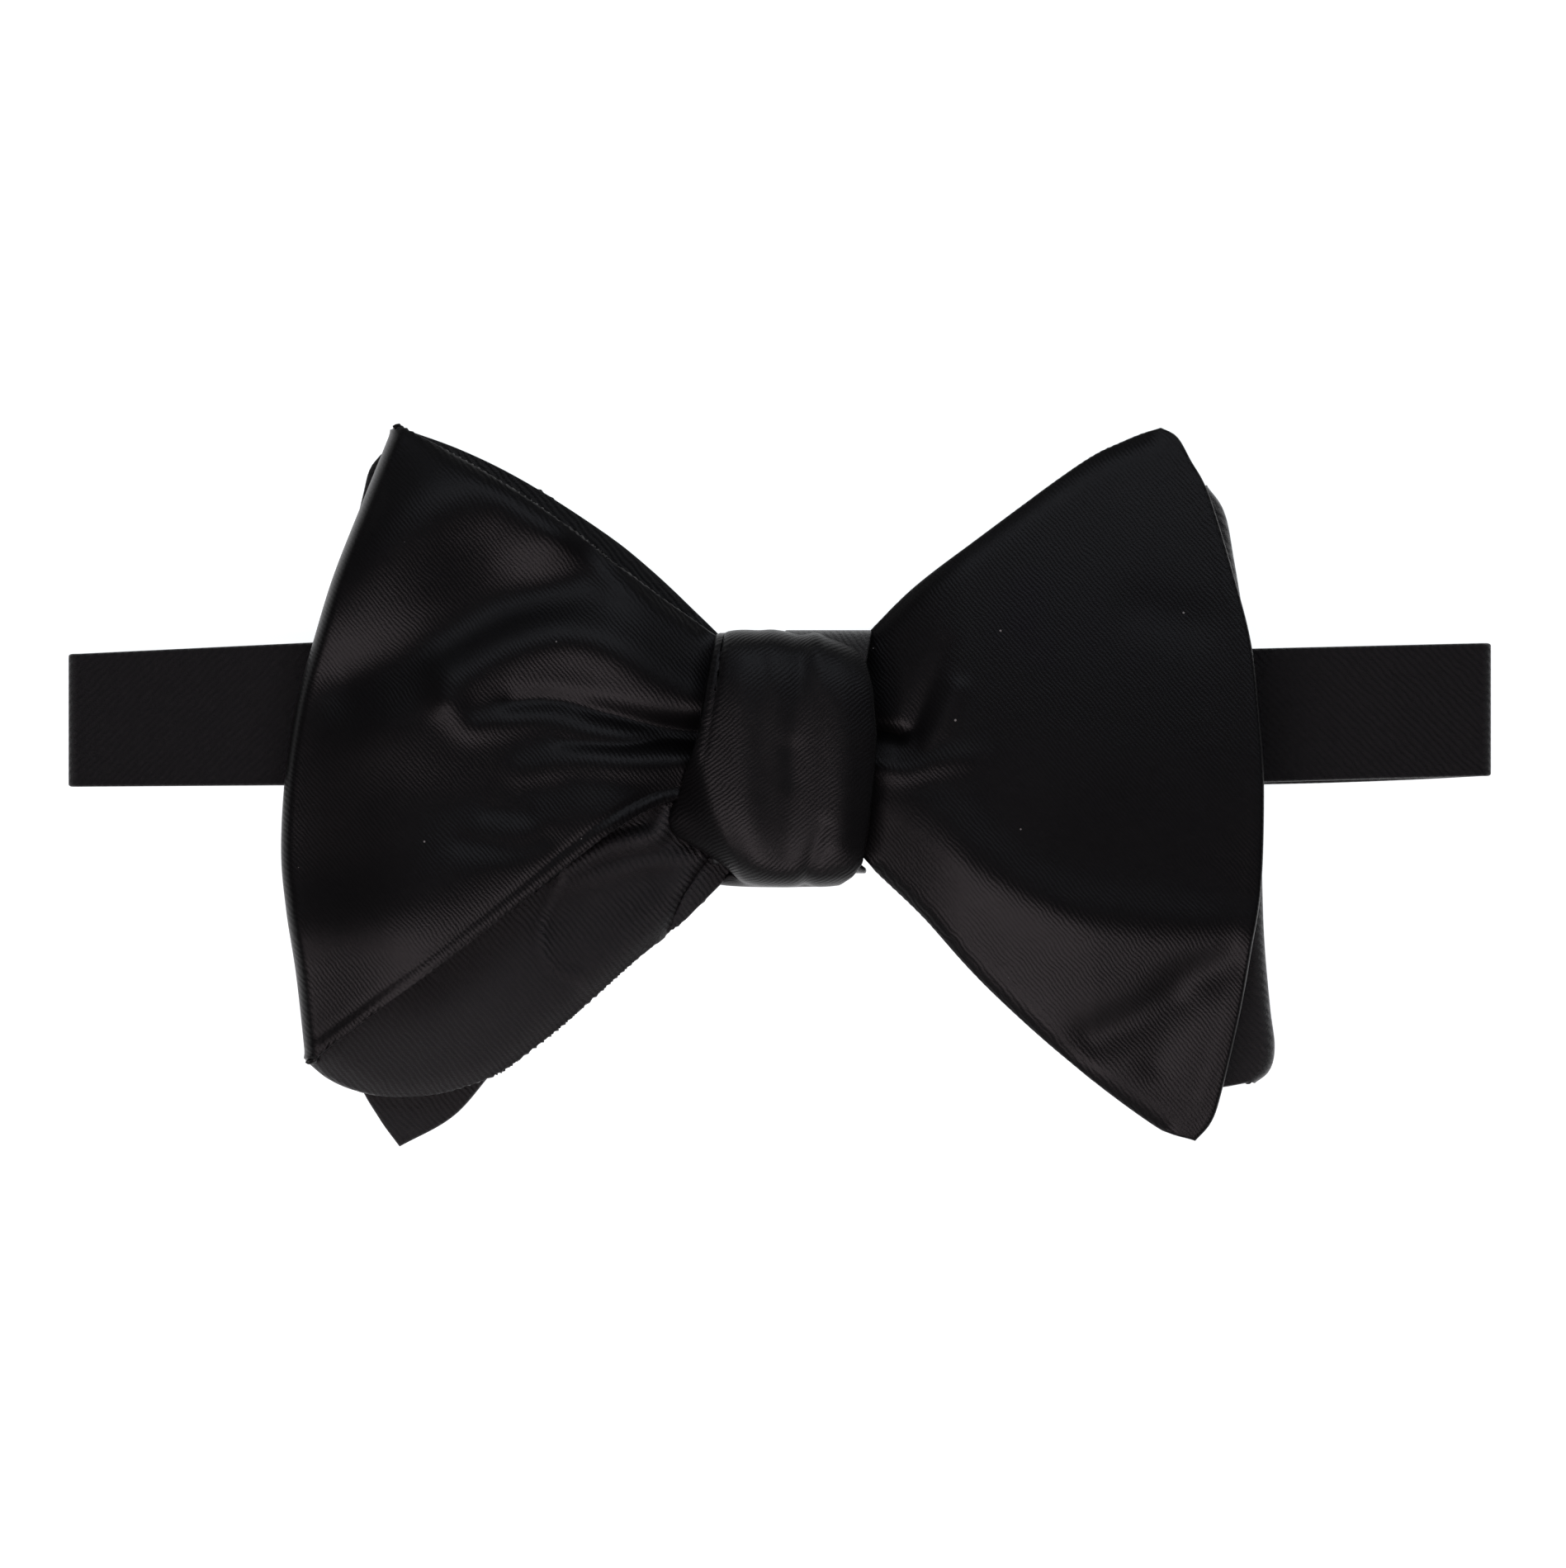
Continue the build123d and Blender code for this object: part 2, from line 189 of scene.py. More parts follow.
def make_object(name, points_mm, faces, uv=None):
    """A smooth mesh object in the frame, from points in millimetres about the band."""
    points = (np.asarray(points_mm) + [0, BAND_Y, 0]) * MM
    mesh = bpy.data.meshes.new(name)
    mesh.from_pydata(points.tolist(), [], [list(dict.fromkeys(f)) for f in faces.tolist()])
    if uv is not None:
        layer = mesh.uv_layers.new(name="weave")
        corner = np.empty(len(mesh.loops), dtype=np.int32)
        mesh.loops.foreach_get("vertex_index", corner)
        layer.data.foreach_set("uv", uv[corner].ravel())
    mesh.validate()
    mesh.shade_smooth()
    obj = bpy.data.objects.new(name, mesh)
    bpy.context.scene.collection.objects.link(obj)
    return obj


def cloth(name, mid, half, uv, ring=False):
    """A closed piece of cloth about a grid of points, with a half thickness at each point.
    Where the half thickness is 0 its two faces meet. A ring joins up along its first direction."""
    if ring:
        wide = np.concatenate([mid[-2:-1], mid, mid[1:2]])
        normal = grid_normals(wide)[1:-1]
    else:
        normal = grid_normals(mid)
    rows, columns = mid.shape[:2]
    front = (mid + normal * half[..., None]).reshape(-1, 3)
    back = (mid - normal * half[..., None]).reshape(-1, 3)
    index = np.arange(rows * columns).reshape(rows, columns)
    other = np.where(half > 1e-6, index + rows * columns, index)
    if ring:
        index[-1], other[-1] = index[0], other[0]
    faces = [grid_faces(index), grid_faces(other)[:, ::-1]]
    if not ring:
        for row, turn in ((0, 1), (-1, -1)):
            cap = np.stack([index[row, 1:], index[row, :-1], other[row, :-1], other[row, 1:]], axis=1)
            faces.append(cap[:, ::turn])
    faces = np.concatenate(faces)
    kinds = np.array([len(set(face)) for face in faces.tolist()])
    faces = faces[kinds > 2]
    used = np.unique(faces)
    renumber = np.zeros(2 * rows * columns, dtype=int)
    renumber[used] = np.arange(len(used))
    both = np.concatenate([front, back])[used]
    plan = np.concatenate([uv.reshape(-1, 2), uv.reshape(-1, 2)])[used]
    return make_object(name, both, renumber[faces], plan)


def strip_piece(name, path, low_y, high_y, half, uv_shift=0.0):
    """A band of cloth: a path of (x, z) points, with the y of its two edges along it."""
    path = np.asarray(path, float)
    run = np.concatenate([[0], np.cumsum(np.linalg.norm(np.diff(path, axis=0), axis=1))])
    width = np.mean(np.asarray(high_y) - np.asarray(low_y))
    v = edge_rows(width, 24)
    low_y, high_y = np.broadcast_to(low_y, len(path)), np.broadcast_to(high_y, len(path))
    y = low_y[:, None] * (1 - v) + high_y[:, None] * v
    mid = np.stack([np.broadcast_to(path[:, :1], y.shape), y,
                    np.broadcast_to(path[:, 1:], y.shape)], axis=2)
    distance = np.minimum(v, 1 - v) * width
    thick = np.broadcast_to(rounding(distance, half), y.shape)
    uv = np.stack([np.broadcast_to(run[:, None] + uv_shift, y.shape), y], axis=2)
    return cloth(name, mid, thick, uv)


def arc(x, z, radius, start, end, count):
    """Points of an arc in the (x, z) plane, angles in degrees from +x towards +z."""
    angle = np.radians(np.linspace(start, end, count))
    return np.stack([x + radius * np.cos(angle), z + radius * np.sin(angle)], axis=1)


def line(a, b, count):
    """Evenly spaced points from a to b."""
    return np.linspace(a, b, count)


# ---- the wings ------------------------------------------------------------------------
LEFT_TOP = [(-6.5, 9.3), (-9.5, 11.2), (-15.6, 15.6), (-20.2, 19.1), (-26.3, 23.9), (-34.7, 29.6),
            (-46.3, 36.4)]
LEFT_SEAM = [(-10.0, -8.6), (-12.5, -9.9), (-15.6, -10.9), (-21.3, -14.4), (-31.6, -22.4),
             (-42.4, -30.7), (-53.8, -39.2), (-56.9, -41.7)]
LEFT_OUTER = [(-57.5, -41.7), (-58.6, -31), (-59.8, -23), (-60.4, -16), (-59.9, -7), (-58.5, 2),
              (-56.4, 9.5), (-54.1, 17), (-50.6, 26), (-46.9, 35.4)]
LEFT_BACK_TOP = [(-6.5, 9.3), (-9.8, 12.6), (-15.3, 17.9), (-21, 22.6), (-30.5, 28.9), (-38, 32.8),
                 (-45.6, 35.7)]
LEFT_BOTTOM = [(-5.5, -18.5), (-11.5, -24.3), (-18, -29.5), (-25.5, -36.3), (-33.5, -42.6),
               (-38.5, -44.8), (-42.5, -45.8), (-47.5, -46.1), (-51.5, -45.4), (-54.6, -44),
               (-57, -42)]

LEFT_FRONT_FOLDS = [
    # path, width, height: the folds that run out of the knot
    ([(-9, 2.0), (-14, 4.6), (-20, 8.0), (-26, 9.6), (-33, 8.0), (-39, 4.8)], 3.6, 1.35),
    ([(-10, -1.4), (-15, -0.9), (-21, 0.6), (-27, 1.9), (-32, 1.9)], 1.7, (-2.0, -0.7)),
    ([(-40, 1.5), (-37, -1.0), (-31, 0.1), (-25, 1.0)], 1.7, (0.5, 0.25)),
    ([(-10, -3.4), (-14, -3.0), (-19, -3.4), (-26, -3.0)], 1.1, (-0.9, -0.25)),
    ([(-10, -5.2), (-16, -5.6), (-24, -5.2), (-31, -6.5)], 2.0, (0.9, 0.35)),
    # the two pillows of the wing and the valley between them
    ([(-58, 10.5), (-50, 19), (-42, 25.5), (-34, 27.0), (-28, 23.5)], 6.0, 2.1),
    ([(-52, 4.5), (-41, 9.0), (-32, 14.5), (-24, 17.5)], 4.5, -1.2),
    ([(-60, -27), (-50, -26), (-42, -23.5), (-33, -18), (-24, -12.5)], 6.5, 1.4),
    ([(-47, -8), (-38, -10), (-30, -9)], 5.0, -0.35),
    # the rolled upper edge
    ([(-9.5, 11.4), (-15.6, 15.6), (-26.3, 24.0), (-34.7, 29.9), (-46.1, 37)], 1.5, -0.95),
    # dimples above the seam
    ([(-35, -11.3), (-30.5, -11.9)], 1.3, -0.18),
    ([(-38, -15.2), (-32, -15.8), (-28, -14.6)], 1.5, -0.22),
    # the rolled seam edge
    ([(-11.2, -9.0), (-15.8, -10.3), (-21.5, -13.7), (-31.8, -21.7), (-42.6, -30.0), (-55.5, -39.6)],
     0.34, 0.28),
    ([(-12.5, -8.2), (-16.3, -9.4), (-22.0, -12.8), (-32.3, -20.8), (-43.1, -29.1), (-55.5, -38.4)],
     0.42, -0.16),
]
LEFT_LOWER_FOLDS = [
    ([(-13.5, -10.5), (-15, -14.0), (-20, -15.3), (-26, -18.3)], 1.2, 1.25),
    ([(-26, -20.0), (-18, -17.9), (-10, -16.6)], 1.1, 0.55),
    ([(-27, -24.0), (-22, -22.5), (-16, -19.5)], 3.2, -0.9),
    ([(-42.5, -30.5), (-36.5, -26.0), (-29.5, -20.6), (-22, -16.0)], 4.2, (-1.2, -1.2)),
    ([(-23, -31.7), (-16, -25), (-12, -19.5)], 2.0, 0.5),
    ([(-26.5, -19.6), (-28.9, -25.5), (-27.7, -29.9), (-24.0, -31.4)], 0.5, 0.3),
    ([(-52, -37), (-42, -35), (-32, -33)], 5.0, 0.5),
    ([(-8.5, -16.5), (-11.8, -21.4), (-14.5, -27)], 0.5, -0.45),
    # the rolled lower edge
    ([(-11.5, -24.8), (-18, -30), (-25.5, -36.8), (-33.5, -43.1), (-38.5, -45.3), (-47.5, -46.6),
      (-56, -43.2)], 1.8, -0.8),
]


def along_knot(x, root_x):
    """Distance out from the knot's side."""
    return np.abs(x) - abs(root_x)


def left_front_z(xy):
    """Height of the left wing's front ply."""
    x, y = xy[..., 0], xy[..., 1]
    out = along_knot(x, -9)
    rise = 13.6 + 3.2 * ramp(out, -3, 12)
    crown = -(y + 10) ** 2 / 360
    fall = -5.2 * ramp(out, 30, 52) ** 1.4
    return rise + crown + fall + strokes(xy, LEFT_FRONT_FOLDS)


def left_back_z(xy):
    """Height of the left loop's back ply, which shows below the seam."""
    x, y = xy[..., 0], xy[..., 1]
    out = along_knot(x, -9)
    rise = 12.2 + 1.2 * ramp(out, -3, 12)
    crown = -(y + 8) ** 2 / 250
    fall = -5.6 * ramp(out, 20, 52)
    lower = 0.7 * ramp(-y, 8, 26) * ramp(out, 0, 10)
    return rise + crown + fall + lower + strokes(xy, LEFT_LOWER_FOLDS)

RIGHT_TOP = [(8, 7.5), (11.7, 11.2), (16.5, 15.9), (25, 22.4), (36.5, 30.8), (41.5, 33.4), (46.2, 35.2)]
RIGHT_BOTTOM = [(7.5, -14.0), (11.7, -18.4), (17.5, -24), (25, -32.3), (35.5, -41.8), (45.5, -49.3),
                (50.4, -51.2)]
RIGHT_OUTER = [(50.4, -51.2), (52.4, -48.8), (53.6, -45), (55.6, -36), (57, -28), (58.2, -20),
               (58.5, -8), (58, 0), (57, 9), (55, 17), (52, 27), (49.8, 31.2), (48.2, 34), (46.2, 35.2)]

RIGHT_FRONT_FOLDS = [
    # pit and pucker beside the knot
    ([(10, -1.4), (12.6, -1.7), (14.4, -2.1)], 1.05, -1.4),
    ([(20.0, 8.6), (18.9, 5.5), (17.3, 1.5), (16.2, -1.4)], 1.3, (-0.15, -0.45)),
    ([(21.5, 3.5), (19.6, -0.8), (18.2, -2.8)], 1.2, 0.25),
    ([(10, -5.0), (14.5, -6.3), (19, -5.4), (24, -4.6)], 1.6, (0.8, 0.1)),
    # the crease below which the blade falls away
    ([(10, -7.5), (17.3, -11.5), (23.6, -16.7), (30, -21.4), (38, -24.0), (50, -25.4), (57, -28)],
     3.6, 0.55),
    ([(38, -38.5), (43.6, -36.0), (48.8, -32.0), (54.5, -29.0)], 2.9, -0.85),
    ([(45.5, -41.5), (47.2, -37.5), (48.3, -34.6)], 2.2, -0.35),
    ([(44, 13), (50, 11.5)], 3.0, -0.2),
    # the seam beside the outer edge, and the roll of the upper edge
    ([(51.2, -46), (54.2, -35), (56.6, -20), (57.0, -6), (55.6, 8), (52.2, 22), (48.2, 31.5)], 0.6, 0.08),
    ([(11.0, 11.0), (16.5, 16.4), (25, 23.0), (36.5, 31.4), (44, 35)], 1.6, -0.95),
    ([(11.7, -18.8), (17.5, -24.4), (25, -32.7), (35.5, -42.2), (46, -50)], 1.2, -0.8),
]


def right_front_z(xy):
    """Height of the right wing's front blade."""
    x, y = xy[..., 0], xy[..., 1]
    out = along_knot(x, 10)
    rise = 13.4 + 3.4 * ramp(out, -3, 13)
    crown = -(y + 15) ** 2 / 440
    fall = -2.6 * ramp(out, 18, 50)
    crease_y = np.interp(x, [10, 23.6, 38, 57], [-8.5, -17.7, -24.8, -28.5])
    below = np.clip(crease_y - y, 0, None)
    droop = -0.215 * below ** 2 / (below + 4)
    return rise + crown + fall + droop + strokes(xy, RIGHT_FRONT_FOLDS)

REAR_LEFT_TOP = [(-6.5, 8), (-11, 13), (-20, 20.5), (-30, 27.5), (-38, 31.2), (-44.5, 32.6), (-48.5, 32.1)]
REAR_LEFT_BOTTOM = [(-5.5, -17), (-12, -22), (-24, -33), (-33.5, -41.5), (-39.5, -48.2), (-46.3, -52.1)]
REAR_LEFT_OUTER = [(-46.3, -52.1), (-48.8, -48.6), (-51.5, -43.5), (-55, -32), (-57, -15), (-56.2, 2),
                   (-54.2, 14), (-51.9, 22), (-50.7, 27), (-49.9, 30.2), (-48.5, 32.1)]
REAR_RIGHT_TOP = [(8, 7), (13, 10.5), (20, 16), (33, 25.5), (44, 30), (51.5, 28.5)]
REAR_RIGHT_BOTTOM = [(7.5, -13), (12, -16.6), (25, -29), (35, -37.5), (45, -42.8), (52, -44.8),
                     (57.4, -44.2)]
REAR_RIGHT_OUTER = [(57.4, -44.2), (59.6, -42.6), (60.2, -39.8), (59.6, -35), (58.8, -26), (58.4, -14),
                    (57.8, 0), (56.6, 10), (55.2, 19), (54.0, 25), (51.5, 28.5)]


def rear_z(root, outer):
    """A height for a rear ply: its level by the knot and how far it falls outwards."""
    def height(xy):
        x, y = xy[..., 0], xy[..., 1]
        out = along_knot(x, 9)
        return root - outer * ramp(out, 4, 52) - (y + 4) ** 2 / 350
    return height

WING_S = np.concatenate([np.linspace(0, 0.985, 118), [0.9915, 0.996, 0.9985, 1.0]])
WING_V = 132
CORNER = 3.0                 # a loop's fold tightens over this length before its corners


def wing_grid(bottom, top, outer, height, s, v):
    """A wing's ply as a grid of points."""
    xy = coons(bottom, top, outer, s, v)
    z = height(xy)
    return np.concatenate([xy, z[..., None]], axis=2)


def blade(name, bottom, top, outer, height, half=PLY_HALF):
    """A flat end of the tie, rounded off along its three free edges."""
    v = edge_rows(60, WING_V)
    mid = wing_grid(bottom, top, smooth(outer, v), height, WING_S, v)
    across = np.linalg.norm(mid[:, -1] - mid[:, 0], axis=1)[:, None]
    from_side = np.minimum(v, 1 - v) * across
    from_end = (1 - WING_S)[:, None] * 48
    thick = rounding(np.minimum(from_side, from_end), half)
    return cloth(name, mid, thick, mid[..., :2])


def hairpin(name, front, back, outer, fold_half, half=PLY_HALF):
    """A loop of the bow: the front ply out from the knot, round the fold and back as the back ply.
    front and back are (bottom, top, height)."""
    v = edge_rows(60, WING_V)
    s = np.linspace(0, 1, 110)
    edge = smooth(outer, v)
    length = np.linalg.norm(np.diff(edge, axis=0), axis=1).sum()
    full = rounding(np.minimum(v, 1 - v) * length, CORNER) / CORNER
    outward = np.sign(outer[0][0]) * full
    edge[:, 0] -= outward * (fold_half + half)
    f = wing_grid(front[0], front[1], edge, front[2], s, v)
    b = wing_grid(back[0], back[1], edge, back[2], s, v)
    centre = (f[-1] + b[-1]) / 2
    radius = (f[-1] - b[-1]) / 2
    bulge = np.stack([outward * fold_half, 0 * v, 0 * v], axis=1)
    rows = []
    for angle in np.radians(np.linspace(90, -90, 15))[1:-1]:
        rows.append(centre + radius * np.sin(angle) + bulge * np.cos(angle))
    mid = np.concatenate([f, np.array(rows), b[::-1]])
    across = np.linalg.norm(mid[:, -1] - mid[:, 0], axis=1)[:, None]
    from_side = np.minimum(v, 1 - v) * across
    thick = rounding(from_side, half)
    return cloth(name, mid, thick, mid[..., :2])


# ---- the knot -------------------------------------------------------------------------
KNOT_MIDDLE_Y = -4.95
KNOT_HALF_Y = 14.9
KNOT_BACK_HALF_X = 7.5       # the wrap is narrower behind
TURN_MIDDLE_Y = -4.05        # the tucked end of the wrap
TURN_WIDTH = 10.6
TURN_LEFT_X = 0.6
TURN_HALF_Y = 14.35
TURN_RIGHT = [(-19, 11.2), (-17.5, 9.4), (-15, 9.0), (-5, 9.4), (4, 10.0), (10, 11.1)]   # y, x
KNOT_RIDGE_Y = 3.5           # the knot stands highest here and falls away to its two ends
KNOT_HALF_Z = (KNOT_FRONT_Z - KNOT_BACK_Z) / 2 - 0.6
KNOT_MIDDLE_Z = (KNOT_FRONT_Z + KNOT_BACK_Z) / 2
KNOT_LEFT = [(10.4, -7.6), (4.1, -9.0), (-2, -9.9), (-5.1, -10.7), (-9.2, -11.9), (-13.3, -13.4),
             (-15.2, -12.4), (-17.0, -9.0), (-18.6, -6.2), (-20.4, -4.4)]
KNOT_RIGHT = [(10.4, 9.8), (8.9, 10.2), (3.4, 11.2), (-2, 11.65), (-6.1, 11.4), (-12.9, 10.7),
              (-17.5, 9.9), (-18.9, 8.9), (-19.9, 7.4), (-20.4, 6.4)]
KNOT_FOLDS = [
    ([(2.2, 12), (2.6, 6), (2.0, 0), (1.5, -7)], 1.3, (-0.5, -0.1)),
    ([(4.3, 12), (4.7, 7), (5.5, 3)], 0.8, (0.3, 0.05)),
    ([(-1.2, 12), (-0.6, 4), (-1.4, -6)], 1.1, (0.25, 0.0)),
    ([(-4.8, 12), (-4.4, 3), (-4.2, -8), (-3.2, -17)], 2.2, (0.25, 0.35)),
    ([(6.9, 8), (7.4, -6), (6.9, -15)], 1.9, (0.15, 0.4)),
    ([(1.4, -4), (1.6, -10), (1.0, -16)], 1.6, -0.2),
    ([(5.2, -13), (3.9, -16.5), (2.8, -21)], 1.0, (-0.15, -0.6)),
    ([(-7.3, 12), (-8.5, 4), (-9.9, -4), (-11, -8)], 0.38, (-0.5, 0.0)),
    ([(-6.3, 12), (-7.4, 4), (-8.8, -4), (-10, -8)], 0.34, (-0.42, 0.0)),
    ([(-12, -8), (-10, -13), (-6, -18)], 3.2, -0.9),
]

KNOT_FLANK = [(-19.9, -3.6), (-16.5, -5.3), (-11.7, -7.3), (-3.9, -9.4), (0, -12)]   # y, x


def ring_profile(half_y, half_z, power, count):
    """Points evenly spaced round a rounded rectangle in the (y, z) plane."""
    around = np.linspace(0, 2 * np.pi, 3001)
    y = half_y * np.sign(np.cos(around)) * np.abs(np.cos(around)) ** (2 / power)
    z = half_z * np.sign(np.sin(around)) * np.abs(np.sin(around)) ** (2 / power)
    run = np.concatenate([[0], np.cumsum(np.hypot(np.diff(y), np.diff(z)))])
    place = np.linspace(0, run[-1], count)
    return np.interp(place, run, y), np.interp(place, run, z)


def inner_turn():
    """The end of the wrap, tucked under it at the right and just showing past its edge."""
    v = edge_rows(TURN_WIDTH, 20)
    y, z = ring_profile(TURN_HALF_Y, KNOT_HALF_Z - 1.1, 3.2, 120)
    height = y + TURN_MIDDLE_Y
    right = np.interp(height, *np.array(TURN_RIGHT).T)[:, None]
    x = TURN_LEFT_X * (1 - v) + right * v
    mid = np.stack([x, np.broadcast_to(height[:, None], x.shape),
                    np.broadcast_to(z[:, None] + KNOT_MIDDLE_Z, x.shape)], axis=2)
    mid[-1] = mid[0]
    thick = np.broadcast_to(rounding(np.minimum(v, 1 - v) * TURN_WIDTH, 0.35), mid.shape[:2])
    return cloth("knot_inner_turn", mid, thick, mid[..., :2], ring=True)


def knot_wrap():
    """The band of satin wound round the middle of the bow."""
    v = edge_rows(22, 76)
    y, z = ring_profile(KNOT_HALF_Y, KNOT_HALF_Z, 4.6, 230)
    face = ramp(z, -KNOT_HALF_Z * 0.4, KNOT_HALF_Z * 0.5)
    height = y + KNOT_MIDDLE_Y
    left_y, left_x = np.array(KNOT_LEFT[::-1]).T
    right_y, right_x = np.array(KNOT_RIGHT[::-1]).T
    left = np.interp(height, left_y, left_x) * face - KNOT_BACK_HALF_X * (1 - face)
    right = np.interp(height, right_y, right_x) * face + KNOT_BACK_HALF_X * (1 - face)
    x = left[:, None] * (1 - v) + right[:, None] * v
    side = np.abs(2 * v - 1)
    dome = 1 - 0.13 * side ** 3 - 0.07 * side ** 8
    y_grid = KNOT_MIDDLE_Y + y[:, None] * (1 - 0.02 * side ** 4)
    y_grid -= 1.2 * ramp(x, 2, 9) * ramp(y, 8, 14)[:, None]
    from_ridge = KNOT_MIDDLE_Y + y - KNOT_RIDGE_Y
    lean = 0.075 * (np.sqrt(from_ridge ** 2 + 20) - 4.5) * face
    z_grid = KNOT_MIDDLE_Z + z[:, None] * dome - lean[:, None]
    folds = strokes(np.stack([x, y_grid], axis=2), KNOT_FOLDS)
    beyond = np.clip(np.interp(y_grid, *np.array(KNOT_FLANK).T) - x, 0, None)
    folds = (folds - 0.55 * beyond ** 2 / (beyond + 1)) * face[:, None]
    length = np.hypot(y / KNOT_HALF_Y ** 2, z / KNOT_HALF_Z ** 2)
    y_grid = y_grid + folds * (y / KNOT_HALF_Y ** 2 / length)[:, None]
    z_grid = z_grid + folds * (z / KNOT_HALF_Z ** 2 / length)[:, None]
    mid = np.stack([x, y_grid, z_grid], axis=2)
    mid[-1] = mid[0]
    width = (right - left)[:, None]
    thick = rounding(np.minimum(v, 1 - v) * width, 0.6)
    run = np.cumsum(np.concatenate([[0], np.hypot(np.diff(y), np.diff(z))]))
    uv = np.stack([x, np.broadcast_to(run[:, None], x.shape)], axis=2)
    return cloth("knot_wrap", mid, thick, uv, ring=True)


def knot_filling():
    """The gathered cloth inside the knot, seen at its two open sides."""
    count, v = 30, np.linspace(0, 2 * np.pi, 73)
    x = np.linspace(-8.2, 8.8, count)
    pleats = 1 + 0.035 * np.sin(9 * v + 0.6) + 0.02 * np.sin(17 * v)
    y = KNOT_MIDDLE_Y + 12.6 * np.cos(v) * pleats
    z = KNOT_MIDDLE_Z - 0.4 + 5.4 * np.sin(v) * pleats
    pinch = 1 - 0.08 * np.cos(np.linspace(-1.5, 1.5, count))
    points = np.stack([np.broadcast_to(x[:, None], (count, len(v))),
                       KNOT_MIDDLE_Y + (y - KNOT_MIDDLE_Y)[None] * pinch[:, None],
                       KNOT_MIDDLE_Z + (z - KNOT_MIDDLE_Z)[None] * pinch[:, None]], axis=2)
    index = np.arange(points[..., 0].size).reshape(count, len(v))
    index[:, -1] = index[:, 0]
    faces = grid_faces(index).tolist()
    faces.append(index[0, :-1].tolist()[::-1])
    faces.append(index[-1, :-1].tolist())
    used = sorted({k for face in faces for k in face})
    renumber = {k: n for n, k in enumerate(used)}
    flat = points.reshape(-1, 3)[used]
    mesh = bpy.data.meshes.new("knot_gathers")
    mesh.from_pydata(((flat + [0, BAND_Y, 0]) * MM).tolist(), [],
                     [[renumber[k] for k in face] for face in faces])
    mesh.shade_smooth()
    obj = bpy.data.objects.new("knot_gathers", mesh)
    bpy.context.scene.collection.objects.link(obj)
    return obj


# ---- the neck band --------------------------------------------------------------------
def strap_z(x):
    """Middle height of the straps in front, by distance from the knot's middle."""
    crease = CREASE_Z + CREASE_R
    share = np.clip((np.abs(x) - STRAP_ROOT_X) / (CREASE_X - STRAP_ROOT_X), 0, 1)
    return BAND_ROOT_Z + (crease - BAND_ROOT_Z) * share

STRAP_EDGES = {      # distance out, then the upper and the lower edge
    -1: ([8, 20, 56, CREASE_X, 90], [6.2, 8.6, 9.3, 7.9, 7.9], [-6.2, -8.4, -8.1, -8.3, -8.3]),
    1: ([8, 20, 57, CREASE_X, 90], [6.2, 8.5, 8.5, 9.2, 9.2], [-6.2, -8.4, -7.8, -7.0, -7.0]),
}


def edges_at(side, x):
    """The y of a strap's lower and upper edge at x."""
    out, upper, lower = STRAP_EDGES[side]
    return np.interp(np.abs(x), out, lower), np.interp(np.abs(x), out, upper)


def front_strap(name, side):
    """The strap from inside the knot to the seam where the neck band is joined on."""
    x = np.linspace(7, STRAP_SPLIT_X, 60)
    low, high = edges_at(side, x)
    return strip_piece(name, np.stack([side * x, strap_z(x)], axis=1), low, high, BAND_THICK / 2)


def crease_strap(name, side):
    """The band from the joining seam, round the crease and back behind the tie."""
    front = np.linspace(STRAP_SPLIT_X, CREASE_X, 90)[:-1]
    start, end = (90, -90) if side > 0 else (90, 270)
    turn = arc(side * CREASE_X, CREASE_Z, CREASE_R, start, end, 61)
    back = np.linspace(CREASE_X, REAR_SPLIT_X, 50)[1:]
    path = np.concatenate([np.stack([side * front, strap_z(front)], axis=1), turn,
                           np.stack([side * back, np.full(len(back), BAND_THICK / 2)], axis=1)])
    low, high = edges_at(side, path[:, 0])
    rear_share = np.zeros(len(path))
    rear_share[-len(back):] = (CREASE_X - back) / (CREASE_X - REAR_SPLIT_X)
    low = low + (-BAND_HALF - low) * rear_share
    high = high + (BAND_HALF - high) * rear_share
    return strip_piece(name, path, low, high, BAND_THICK / 2, STRAP_SPLIT_X)


def left_rear():
    """The left band behind the tie, turned back round the hook's base and sewn down."""
    half = BAND_THICK / 2
    lies = BAND_THICK * 1.5 + 0.1
    turn_r = (UPPER_RUN_Z - half) / 2
    path = np.concatenate([
        line((-REAR_SPLIT_X, half), (HOOK_BASE_X, half), 50)[:-1],
        arc(HOOK_BASE_X, half + turn_r, turn_r, -90, 90, 31),
        smooth([(HOOK_BASE_X, UPPER_RUN_Z), (HOOK_BASE_X - 2, UPPER_RUN_Z - 0.15),
                (HOOK_BASE_X - 5, lies + 0.5), (HOOK_BASE_X - 8, lies), (HOOK_BASE_X - 15, lies)],
               np.linspace(0, 1, 40))[1:]])
    return strip_piece("left_rear_band", path, -BAND_HALF, BAND_HALF, half * 0.98)


